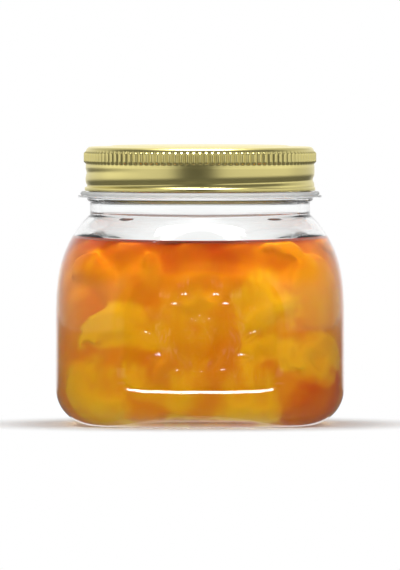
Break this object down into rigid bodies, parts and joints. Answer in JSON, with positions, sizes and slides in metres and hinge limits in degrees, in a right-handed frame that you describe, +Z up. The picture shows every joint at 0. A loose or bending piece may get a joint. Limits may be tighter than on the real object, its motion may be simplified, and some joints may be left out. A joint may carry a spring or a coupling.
{
  "type": "storage jar of fruit preserve",
  "caption": "Rounded-square clear glass jar filled with orange fruit preserve, with a recessed arched front panel and a gold knurled metal screw cap.",
  "frame": {"origin": "centre of the square footprint, on the plane that the jar stands on", "axes": "+Z up along the jar's axis, -Y out of the face with the recessed panel, +X to the right seen from that face"},
  "size_m": [0.1066, 0.1064, 0.1032],
  "materials": {
    "glass": "clear pressed soda-lime glass, polished",
    "preserve": "translucent orange syrup with soft golden fruit pieces",
    "cap_metal": "satin gold lacquered tinplate"
  },
  "bodies": {
    "root": {"jar_glass": "glass", "preserve": "preserve", "lid": "cap_metal"}
  },
  "joints": []
}
